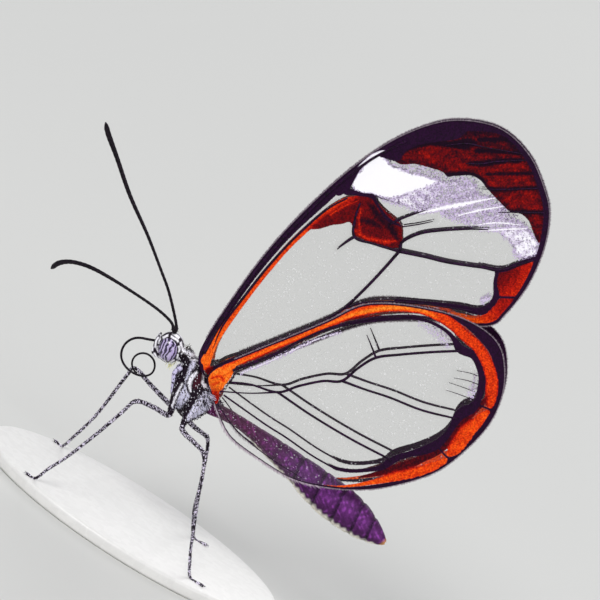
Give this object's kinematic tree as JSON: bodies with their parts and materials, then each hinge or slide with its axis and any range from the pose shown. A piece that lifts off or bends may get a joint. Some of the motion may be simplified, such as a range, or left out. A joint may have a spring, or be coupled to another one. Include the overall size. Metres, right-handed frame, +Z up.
{
  "type": "butterfly model",
  "caption": "Clear-winged butterfly standing with its wings closed over its back, on a thin oval base.",
  "frame": {"origin": "on the floor, under the middle of the bounding box", "axes": "+Z up; -X towards the head and +X towards the tail; -Y towards the animal's left side"},
  "size_m": [0.0362, 0.0172, 0.0415],
  "materials": {
    "fur": "white and lilac scales over black, matte",
    "body": "deep purple, satin, pale underside",
    "eye": "grey lilac with slanting dark stripes, glossy",
    "chitin": "black, satin, speckled with pale scales",
    "wing": "clear membrane with black veins, orange and red bands, black margins and a white patch",
    "stand": "pale, smooth, satin"
  },
  "bodies": {
    "root": {"head": "fur", "thorax": "fur", "abdomen": "body", "eye_left": "eye", "eye_right": "eye", "proboscis": "chitin", "antenna_left": "chitin", "antenna_right": "chitin", "foreleg_left": "fur", "foreleg_right": "fur", "midleg_left": "chitin", "midleg_right": "chitin", "hindleg_left": "chitin", "hindleg_right": "chitin", "forewing_left": "wing", "forewing_right": "wing", "hindwing_left": "wing", "hindwing_right": "wing", "stand_base": "stand"}
  },
  "joints": []
}
